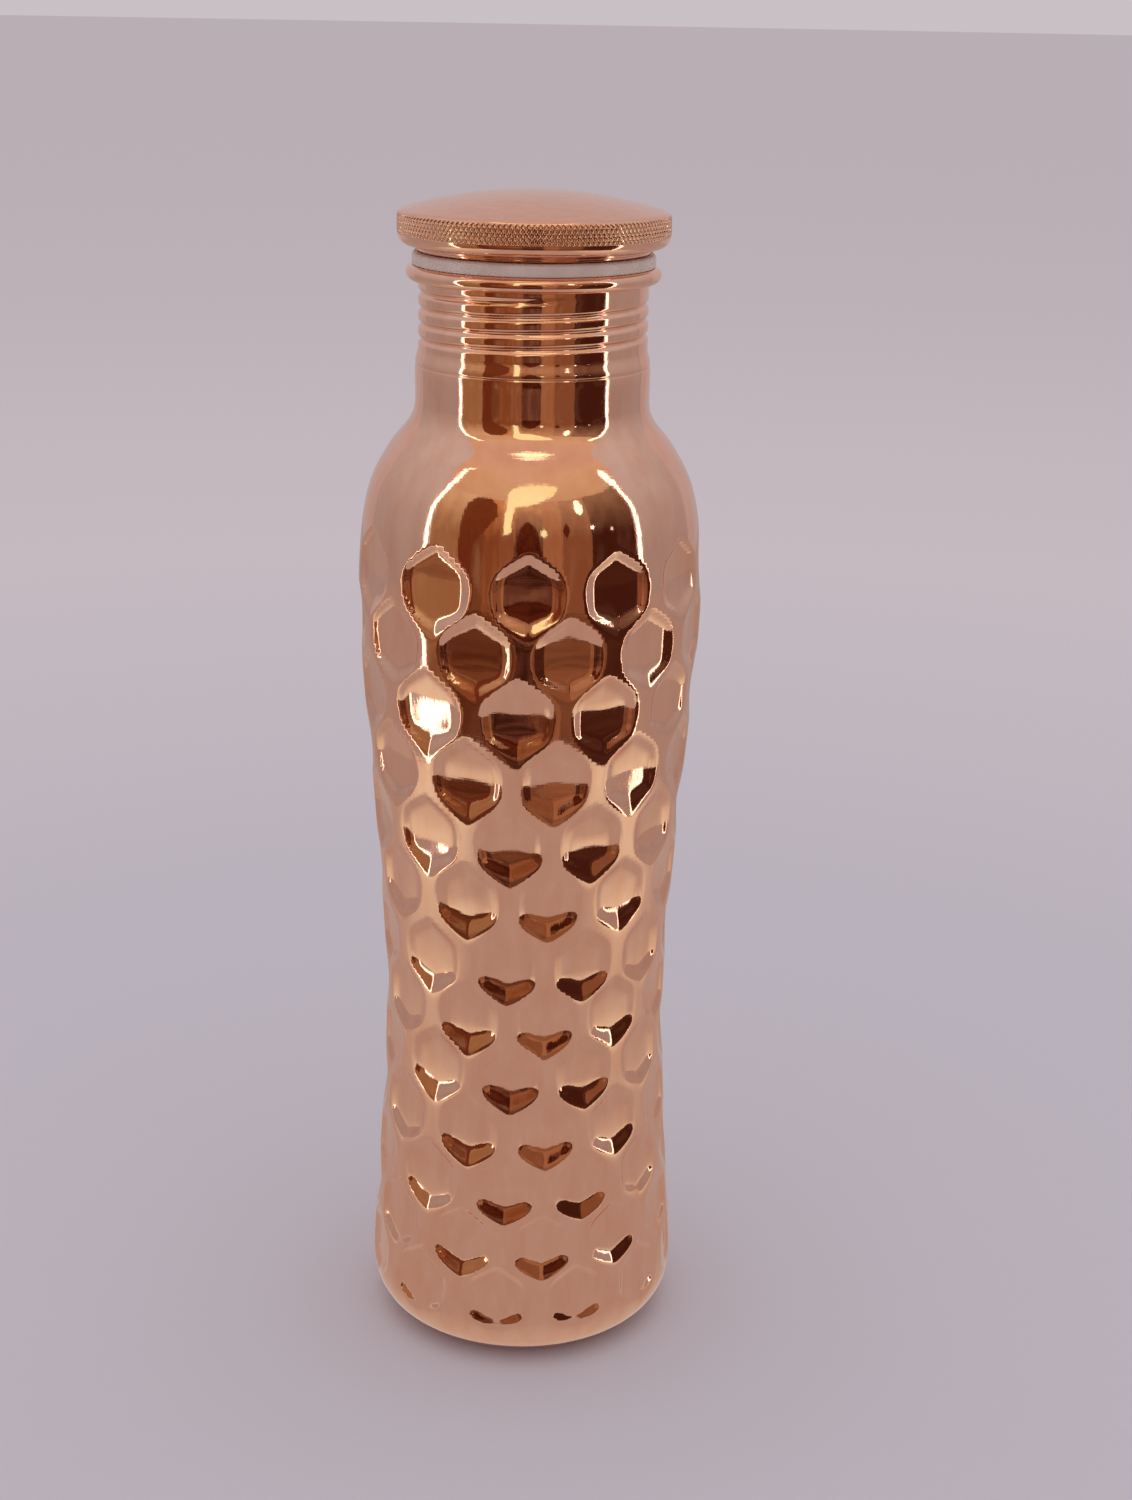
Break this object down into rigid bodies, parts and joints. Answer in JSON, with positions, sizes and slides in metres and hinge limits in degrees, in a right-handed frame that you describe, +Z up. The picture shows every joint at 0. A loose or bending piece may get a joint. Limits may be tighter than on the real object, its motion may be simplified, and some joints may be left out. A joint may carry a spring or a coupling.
{
  "type": "copper water bottle",
  "caption": "Waisted water bottle pressed from polished copper with a pattern of hexagonal dimples, a threaded neck and a knurled screw lid on a silicone washer.",
  "frame": {"origin": "centre of the bottle's foot, on the surface it stands on", "axes": "+Z up along the bottle's axis, which is also the axis of the thread; -Y faces the viewer and +X is to the viewer's right"},
  "size_m": [0.0768, 0.0768, 0.2664],
  "materials": {
    "copper_body": "mirror-polished copper sheet, lacquered",
    "copper_lid": "polished copper sheet with a knurled band",
    "copper_inner": "bright spun copper, not polished",
    "silicone": "soft translucent off-white silicone"
  },
  "bodies": {
    "bottle": {"body_shell": "copper_body", "base_plate": "copper_inner"},
    "seal": {"seal_washer": "silicone"},
    "lid": {"lid_cap": "copper_lid", "lid_back_plate": "copper_inner", "lid_plug": "copper_inner", "plug_end": "copper_inner"}
  },
  "joints": [
    {"name": "lid_rise", "type": "slide", "parent": "bottle", "child": "seal", "axis": [0, 0, 1], "range_m": [0, 0.0198]},
    {"name": "lid_turn", "type": "hinge", "parent": "seal", "child": "lid", "pos_m": [0, 0, 0.2507], "axis": [0, 0, 1], "range_deg": [0, 2160]}
  ],
  "couplings": [
    {"joint": "lid_rise", "follows": "lid_turn", "m_per_rad": 0.00052521}
  ]
}
